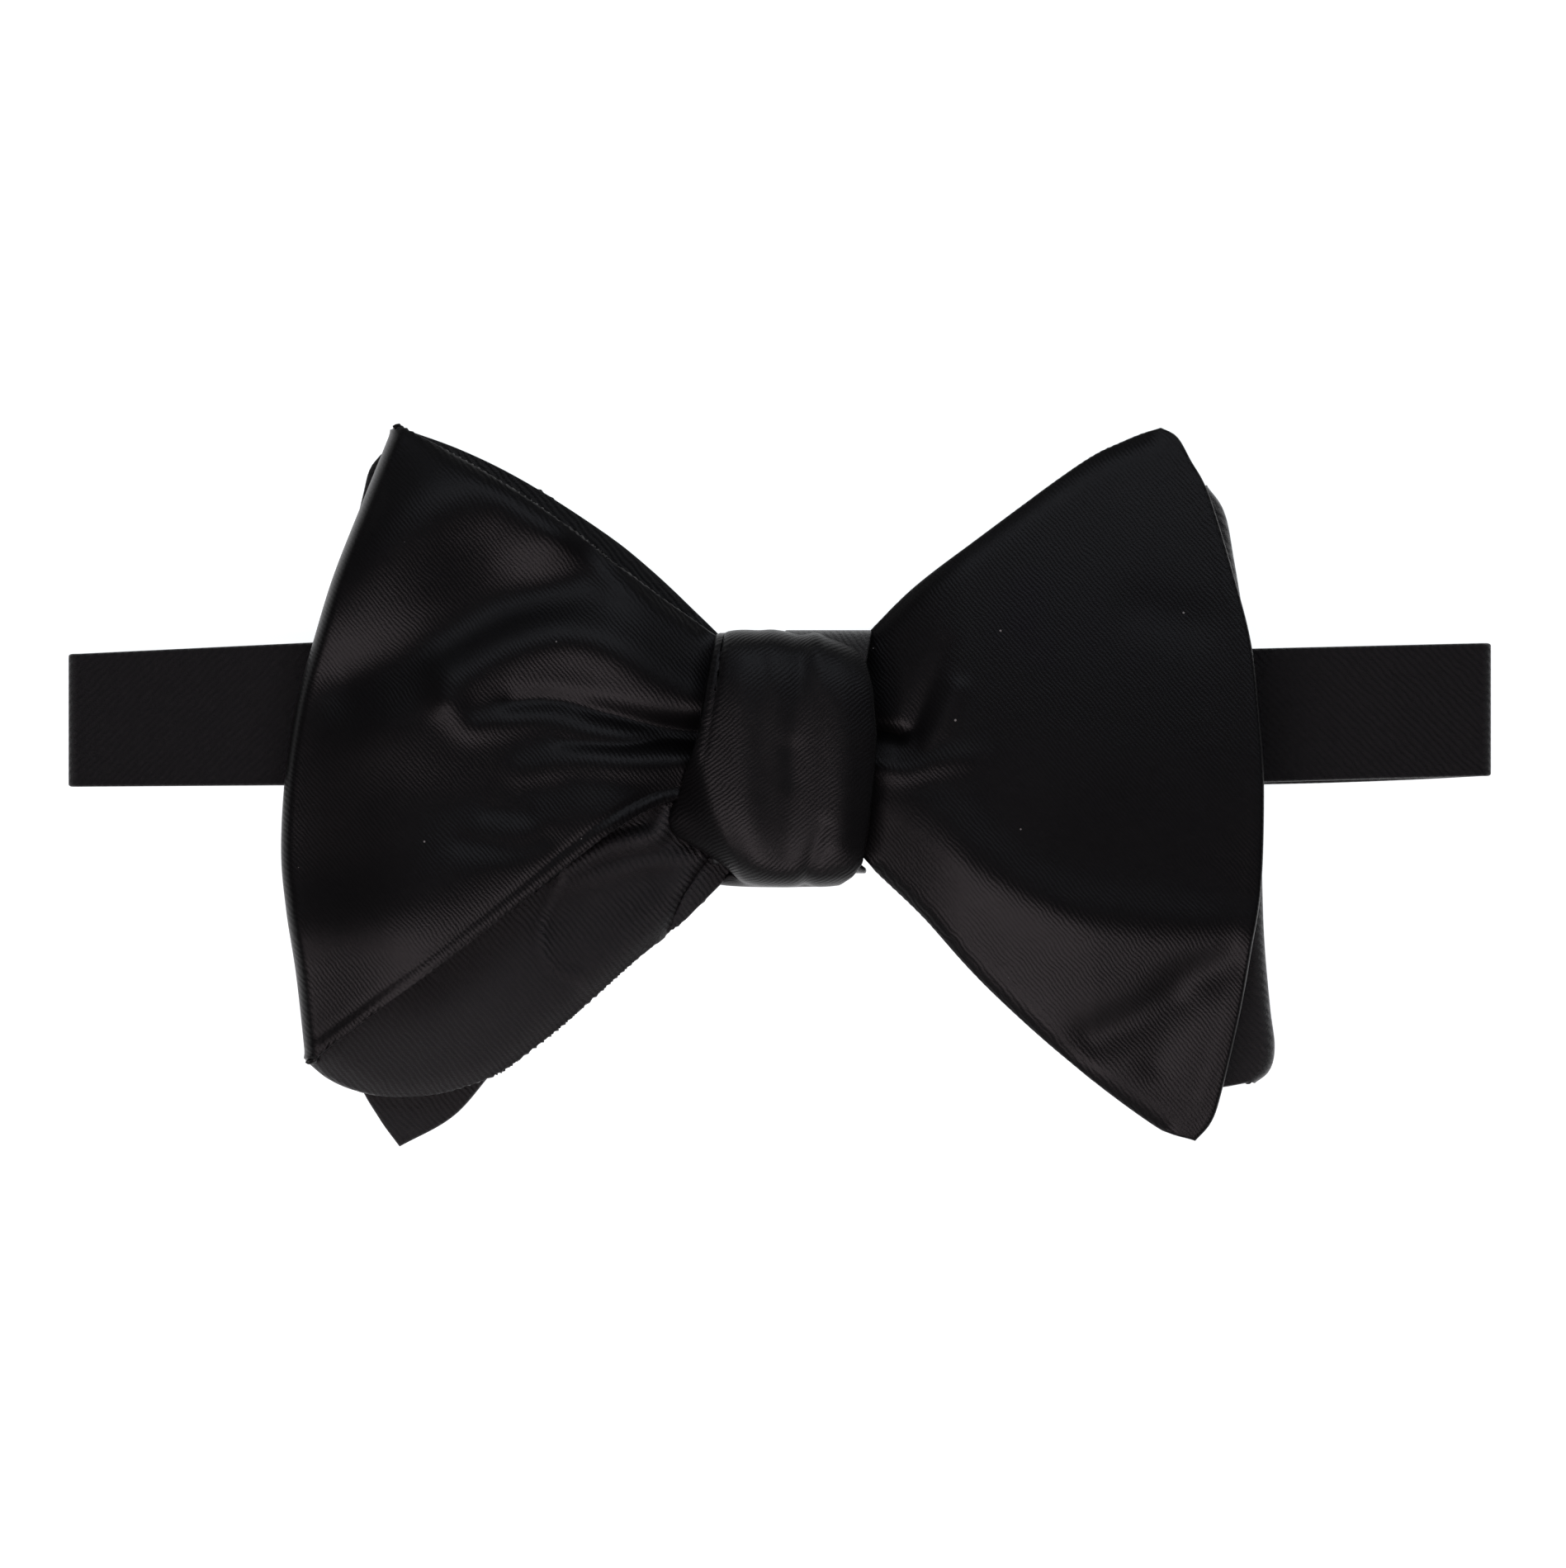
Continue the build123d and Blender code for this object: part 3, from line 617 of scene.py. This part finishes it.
def right_rear():
    """The right band behind the tie, up over the slide and round the eye's bar."""
    half = BAND_THICK / 2
    turn_r = (UPPER_RUN_Z - half) / 2
    ramp_path = smooth([(RAMP_FOOT_X, half), ((RAMP_FOOT_X + RAMP_TOP_X) / 2, (half + UPPER_RUN_Z) / 2),
                        (RAMP_TOP_X, UPPER_RUN_Z)], np.linspace(0, 1, 24))
    path = np.concatenate([
        line((REAR_SPLIT_X, half), (RAMP_FOOT_X, half), 8)[:-1], ramp_path,
        line((RAMP_TOP_X, UPPER_RUN_Z), (EYE_BAR_X, UPPER_RUN_Z), 40)[1:-1],
        arc(EYE_BAR_X, half + turn_r, turn_r, 90, 270, 31)])
    return strip_piece("right_rear_band", path, -BAND_HALF, BAND_HALF, half * 0.98)


def tail_parts():
    """The tail between the eye and the slide, and its end sewn round the slide's bar."""
    half = BAND_THICK / 2
    bar_z = TAIL_BOX[1][2] - 1.3
    tail = strip_piece("band_tail_cloth", line((EYE_BAR_X + 0.02, half), (SLIDE_X - 0.4, half), 40),
                       -BAND_HALF, BAND_HALF, half * 0.98)
    loop = strip_piece("tail_end_loop", arc(SLIDE_X, bar_z, 0.98, -90, 235, 40), -BAND_HALF, BAND_HALF,
                       0.3)
    return tail, loop


def size_label():
    """A blank woven label sewn inside the left rear band."""
    box = node_box("size_label")
    x = np.linspace(box[0][0], box[1][0], 60)
    z = (box[0][2] + box[1][2]) / 2 + 0.03 * np.sin(x * 1.1)
    return strip_piece("woven_label", np.stack([x, z], axis=1),
                       box[0][1] - BAND_Y, box[1][1] - BAND_Y, 0.09)


def bar_tack():
    """A dense zigzag of thread across the turned-back end."""
    box = node_box("turn_back_bar_tack")
    count = 46
    y = np.linspace(box[0][1], box[1][1], count) - BAND_Y
    curve = bpy.data.curves.new("bar_tack_thread", "CURVE")
    curve.dimensions = "3D"
    curve.bevel_depth = 0.14 * MM
    curve.bevel_resolution = 2
    spline = curve.splines.new("POLY")
    spline.points.add(2 * count - 1)
    for k in range(2 * count):
        end = box[0][0] if k % 2 else box[1][0]
        point = np.array([end, y[k // 2] + BAND_Y, box[0][2] + 0.1 + 0.05 * (k % 3)]) * MM
        spline.points[k].co = (*point, 1)
    obj = bpy.data.objects.new("bar_tack_thread", curve)
    bpy.context.scene.collection.objects.link(obj)
    return obj


# ---- materials ------------------------------------------------------------------------
def new_material(name):
    """A material with its node tree and its shader."""
    material = bpy.data.materials.new(name)
    material.use_nodes = True
    tree = material.node_tree
    shader = next(n for n in tree.nodes if n.type == "BSDF_PRINCIPLED")
    return material, tree, shader


def add(tree, kind, **values):
    """A new node with settings and input values by name."""
    node = tree.nodes.new(kind)
    for key, value in values.items():
        if key in node.inputs:
            node.inputs[key].default_value = value
        else:
            setattr(node, key, value)
    return node


def add_specks(tree, place, colour):
    """A few tiny specks of pale lint. About half of the cells hold one, of a size by chance."""
    cells = add(tree, "ShaderNodeTexVoronoi", voronoi_dimensions="2D", Scale=0.075)
    tree.links.new(place.outputs["UV"], cells.inputs["Vector"])
    size = add(tree, "ShaderNodeMath", operation="MULTIPLY_ADD")
    size.inputs[1].default_value = 0.026
    size.inputs[2].default_value = -0.0125
    tree.links.new(cells.outputs["Color"], size.inputs[0])
    dot = add(tree, "ShaderNodeMath", operation="LESS_THAN")
    tree.links.new(cells.outputs["Distance"], dot.inputs[0])
    tree.links.new(size.outputs[0], dot.inputs[1])
    mix = add(tree, "ShaderNodeMix", data_type="RGBA")
    tree.links.new(dot.outputs[0], mix.inputs[0])
    tree.links.new(colour, mix.inputs[6])
    mix.inputs[7].default_value = (0.16, 0.155, 0.15, 1)
    return mix.outputs[2]


def satin(name, angle, pitch, rib, colour=(0.0020, 0.0019, 0.0021), roughness=0.345, lift=1.0, shine=0.13,
          specks=False):
    """Black silk satin. angle is the direction of its fine ribs in degrees, pitch their distance
    in millimetres, rib how much they stand out. lift multiplies its colour, shine is the level of
    its highlights, and specks adds lint."""
    material, tree, shader = new_material(name)
    link = tree.links.new
    shader.inputs["Specular IOR Level"].default_value = shine
    place = add(tree, "ShaderNodeUVMap", uv_map="weave")
    wander = add(tree, "ShaderNodeTexNoise", Scale=0.35, Detail=2.0)
    link(place.outputs["UV"], wander.inputs["Vector"])
    shift = add(tree, "ShaderNodeVectorMath", operation="SCALE")
    shift.inputs["Scale"].default_value = 0.9
    link(wander.outputs["Color"], shift.inputs[0])
    moved = add(tree, "ShaderNodeVectorMath", operation="ADD")
    link(place.outputs["UV"], moved.inputs[0])
    link(shift.outputs[0], moved.inputs[1])
    turn = np.radians(angle)
    wave = add(tree, "ShaderNodeVectorMath", operation="DOT_PRODUCT")
    wave.inputs[1].default_value = tuple(np.array([np.sin(turn), np.cos(turn), 0]) * 2 * np.pi / pitch)
    link(moved.outputs[0], wave.inputs[0])
    rows = add(tree, "ShaderNodeMath", operation="SINE")
    link(wave.outputs["Value"], rows.inputs[0])
    fine = add(tree, "ShaderNodeTexNoise", Scale=5.0, Detail=3.0, Roughness=0.7)
    link(place.outputs["UV"], fine.inputs["Vector"])
    mixed = add(tree, "ShaderNodeMath", operation="MULTIPLY_ADD")
    mixed.inputs[1].default_value = 4.4
    link(fine.outputs["Fac"], mixed.inputs[0])
    link(rows.outputs[0], mixed.inputs[2])
    bump = add(tree, "ShaderNodeBump", Strength=rib, Distance=0.00006)
    link(mixed.outputs[0], bump.inputs["Height"])
    link(bump.outputs[0], shader.inputs["Normal"])
    cloudy = add(tree, "ShaderNodeTexNoise", Scale=0.09, Detail=4.0)
    link(place.outputs["UV"], cloudy.inputs["Vector"])
    rough = add(tree, "ShaderNodeMapRange")
    rough.inputs["To Min"].default_value = roughness - 0.05
    rough.inputs["To Max"].default_value = roughness + 0.05
    link(cloudy.outputs["Fac"], rough.inputs["Value"])
    link(rough.outputs[0], shader.inputs["Roughness"])
    tone = add(tree, "ShaderNodeMapRange")
    tone.inputs["From Min"].default_value = -1.5
    tone.inputs["From Max"].default_value = 5.4
    link(mixed.outputs[0], tone.inputs["Value"])
    shade = add(tree, "ShaderNodeMix", data_type="RGBA")
    dark = tuple(0.55 * c * lift for c in colour)
    light = tuple(1.5 * c * lift for c in colour)
    shade.inputs[6].default_value = (*dark, 1)
    shade.inputs[7].default_value = (*light, 1)
    link(tone.outputs[0], shade.inputs[0])
    colour_out = shade.outputs[2]
    if specks:
        colour_out = add_specks(tree, place, colour_out)
    link(colour_out, shader.inputs["Base Color"])
    return material


def nickel():
    """Nickel-plated steel, lightly brushed and worn."""
    material, tree, shader = new_material("nickel_plate")
    link = tree.links.new
    shader.inputs["Metallic"].default_value = 1.0
    place = add(tree, "ShaderNodeTexCoord")
    brushed = add(tree, "ShaderNodeMapping")
    brushed.inputs["Scale"].default_value = (400, 4000, 4000)
    grain = add(tree, "ShaderNodeTexNoise", Scale=1.0, Detail=3.0)
    link(place.outputs["Object"], brushed.inputs["Vector"])
    link(brushed.outputs[0], grain.inputs["Vector"])
    wear = add(tree, "ShaderNodeTexNoise", Scale=300.0, Detail=5.0)
    link(place.outputs["Object"], wear.inputs["Vector"])
    rough = add(tree, "ShaderNodeMapRange")
    rough.inputs["To Min"].default_value = 0.16
    rough.inputs["To Max"].default_value = 0.38
    link(grain.outputs["Fac"], rough.inputs["Value"])
    link(rough.outputs[0], shader.inputs["Roughness"])
    tint = add(tree, "ShaderNodeMix", data_type="RGBA")
    tint.inputs[6].default_value = (0.66, 0.64, 0.60, 1)
    tint.inputs[7].default_value = (0.50, 0.47, 0.42, 1)
    link(wear.outputs["Fac"], tint.inputs[0])
    link(tint.outputs[2], shader.inputs["Base Color"])
    bump = add(tree, "ShaderNodeBump", Strength=0.15, Distance=0.00003)
    link(grain.outputs["Fac"], bump.inputs["Height"])
    link(bump.outputs[0], shader.inputs["Normal"])
    return material


def floor_material():
    """A pale floor, partly lit by itself, so that no shadow shows on it."""
    material, _, shader = new_material("pale_floor")
    shader.inputs["Base Color"].default_value = (0.3, 0.3, 0.3, 1)
    shader.inputs["Roughness"].default_value = 0.9
    shader.inputs["Specular IOR Level"].default_value = 0.1
    shader.inputs["Emission Color"].default_value = (0.97, 0.99, 1.0, 1)
    shader.inputs["Emission Strength"].default_value = 0.96
    return material


def dress(obj, material):
    """Give a piece its one material."""
    obj.data.materials.clear()
    obj.data.materials.append(material)
    return obj


# ---- build ----------------------------------------------------------------------------
WING_SATIN = satin("satin_wing", 50, 0.46, 0.2, specks=True)
LOWER_SATIN = satin("satin_reverse", 50, 0.62, 0.7, lift=2.2, shine=0.23)
KNOT_SATIN = satin("satin_knot", 40, 0.45, 0.25, shine=0.155)
BAND_SATIN = satin("satin_band", 45, 0.75, 0.8, lift=2.4, shine=0.14)


def nodes_of(*starts):
    """The CAD nodes whose names start in one of these ways."""
    return [n for n in NODES if n.startswith(starts)]


def wing(obj, nodes):
    """Hide the CAD nodes that a wing piece stands in for, and bake the piece's place into its mesh."""
    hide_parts(*nodes)
    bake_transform(obj)


def reverse_side(obj, between):
    """Give the back ply, which lies below the height between the plies, the coarser satin."""
    obj.data.materials.append(LOWER_SATIN)
    centre = np.empty(3 * len(obj.data.polygons))
    obj.data.polygons.foreach_get("center", centre)
    centre = centre.reshape(-1, 3) / MM - [0, BAND_Y, 0]
    behind = centre[:, 2] < between(centre[:, :2])
    obj.data.polygons.foreach_set("material_index", behind.astype(np.int32))


def build_wings():
    """The left loop and right blade in front, the left blade and right loop behind."""
    left_loop = hairpin("left_front_loop_cloth", (LEFT_SEAM, LEFT_TOP, left_front_z),
                        (LEFT_BOTTOM, LEFT_BACK_TOP, left_back_z), LEFT_OUTER, 1.4)
    dress(left_loop, WING_SATIN)
    reverse_side(left_loop, lambda xy: (left_front_z(xy) + left_back_z(xy)) / 2)
    wing(left_loop, nodes_of("left_loop_"))

    right_blade = blade("right_front_blade_cloth", RIGHT_BOTTOM, RIGHT_TOP, RIGHT_OUTER, right_front_z)
    dress(right_blade, WING_SATIN)
    wing(right_blade, nodes_of("right_blade_"))

    left_blade = blade("left_rear_blade_cloth", REAR_LEFT_BOTTOM, REAR_LEFT_TOP, REAR_LEFT_OUTER,
                       rear_z(9.9, 3.4), half=0.55)
    dress(left_blade, LOWER_SATIN)
    wing(left_blade, nodes_of("left_blade_"))

    right_loop = hairpin("right_rear_loop_cloth", (REAR_RIGHT_BOTTOM, REAR_RIGHT_TOP, rear_z(12.2, 3.6)),
                         (REAR_RIGHT_BOTTOM, REAR_RIGHT_TOP, rear_z(9.9, 4.4)), REAR_RIGHT_OUTER, 1.2,
                         half=0.55)
    dress(right_loop, LOWER_SATIN)
    wing(right_loop, nodes_of("right_loop_"))


def build_knot():
    """The wrap, its tucked end and the gathered cloth inside."""
    wrap = dress(knot_wrap(), KNOT_SATIN)
    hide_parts("knot_wrap_silk", "knot_wrap_interlining")
    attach(wrap, "bow_knot")
    turn = dress(inner_turn(), LOWER_SATIN)
    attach(turn, "bow_knot")
    inside = dress(knot_filling(), LOWER_SATIN)
    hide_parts("knot_core_front", "knot_core_rear", "band_centre_silk", "band_centre_interlining")
    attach(inside, "bow_knot")


def build_band():
    """The straps in front, the band behind them, and the tail of the slide."""
    for side, word in ((-1, "left"), (1, "right")):
        strap = dress(front_strap(f"{word}_front_strap", side), BAND_SATIN)
        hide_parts(f"{word}_strap_interlining")
        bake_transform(strap)
        crease = dress(crease_strap(f"{word}_crease_strap", side), BAND_SATIN)
        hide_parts(f"{word}_strap_silk", f"{word}_fold")
        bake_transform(crease)
    left = dress(left_rear(), BAND_SATIN)
    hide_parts("left_rear_band_silk", "left_rear_band_interlining", "left_turn_back")
    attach(left, "left_rear_band")
    right = dress(right_rear(), BAND_SATIN)
    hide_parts("right_rear_band_silk", "right_rear_band_interlining", "eye_turn")
    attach(right, "right_rear_band")
    tail, loop = tail_parts()
    dress(tail, BAND_SATIN)
    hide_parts("band_tail")
    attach(tail, "right_rear_band")
    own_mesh(tail)
    dress(loop, BAND_SATIN)
    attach(loop, "slide_adjuster")


def build_small_parts():
    """The label, the bar tack and the plated metal."""
    label = dress(size_label(), satin("woven_label", 0, 0.3, 0.5, colour=(0.03, 0.03, 0.033)))
    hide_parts("size_label")
    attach(label, "left_rear_band")
    tack = bar_tack()
    tack.data.materials.append(satin("thread", 30, 0.2, 0.3, colour=(0.01, 0.01, 0.011)))
    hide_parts("turn_back_bar_tack")
    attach(tack, "left_rear_band")
    metal = nickel()
    for name in ("hook", "eye_ring", "adjuster_slide"):
        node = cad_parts[name]
        node.data.materials.clear()
        node.data.materials.append(metal)


# ---- floor, light and camera ----------------------------------------------------------
def area_light(name, place, target, width, height, power, colour):
    """A rectangular lamp that faces its target."""
    light = bpy.data.lights.new(name, "AREA")
    light.shape = "RECTANGLE"
    light.size, light.size_y = width, height
    light.energy = power
    light.color = colour
    obj = bpy.data.objects.new(name, light)
    obj.location = place
    obj.rotation_euler = (Vector(target) - Vector(place)).to_track_quat("-Z", "Y").to_euler()
    bpy.context.scene.collection.objects.link(obj)


def build_stage():
    """The floor, a cool lamp from above the bow, a warm one from below it, and a faint sky."""
    size = 6.0
    mesh = bpy.data.meshes.new("floor")
    mesh.from_pydata([(-size, -size, 0), (size, -size, 0), (size, size, 0), (-size, size, 0)], [],
                     [(0, 1, 2, 3)])
    floor = bpy.data.objects.new("floor", mesh)
    bpy.context.scene.collection.objects.link(floor)
    mesh.materials.append(floor_material())
    area_light("cool_sky", (0.15, 0.76, 1.05), (0, 0, 0.01), 1.6, 0.5, 6.5, (0.86, 0.90, 1.0))
    area_light("warm_lamp", (-0.22, -0.62, 0.85), (0, 0, 0.01), 1.2, 0.42, 9.8, (1.0, 0.86, 0.90))
    world = bpy.data.worlds.new("studio")
    bpy.context.scene.world = world
    world.use_nodes = True
    back = world.node_tree.nodes["Background"]
    back.inputs["Color"].default_value = (0.95, 0.96, 1.0, 1)
    back.inputs["Strength"].default_value = 0.08


def build_camera():
    """Straight above the tie, from far enough that nothing looks tapered."""
    lens, sensor, picture = 300.0, 36.0, 0.1897
    height = 0.011
    camera = bpy.data.cameras.new("camera")
    camera.lens = lens
    camera.sensor_width = sensor
    camera.clip_end = 50
    obj = bpy.data.objects.new("camera", camera)
    obj.location = (0.0004, 0.0, height + picture * lens / sensor)
    bpy.context.scene.collection.objects.link(obj)
    bpy.context.scene.camera = obj


build_wings()
build_knot()
build_band()
build_small_parts()
build_stage()
build_camera()
bpy.context.scene.view_settings.view_transform = "Standard"
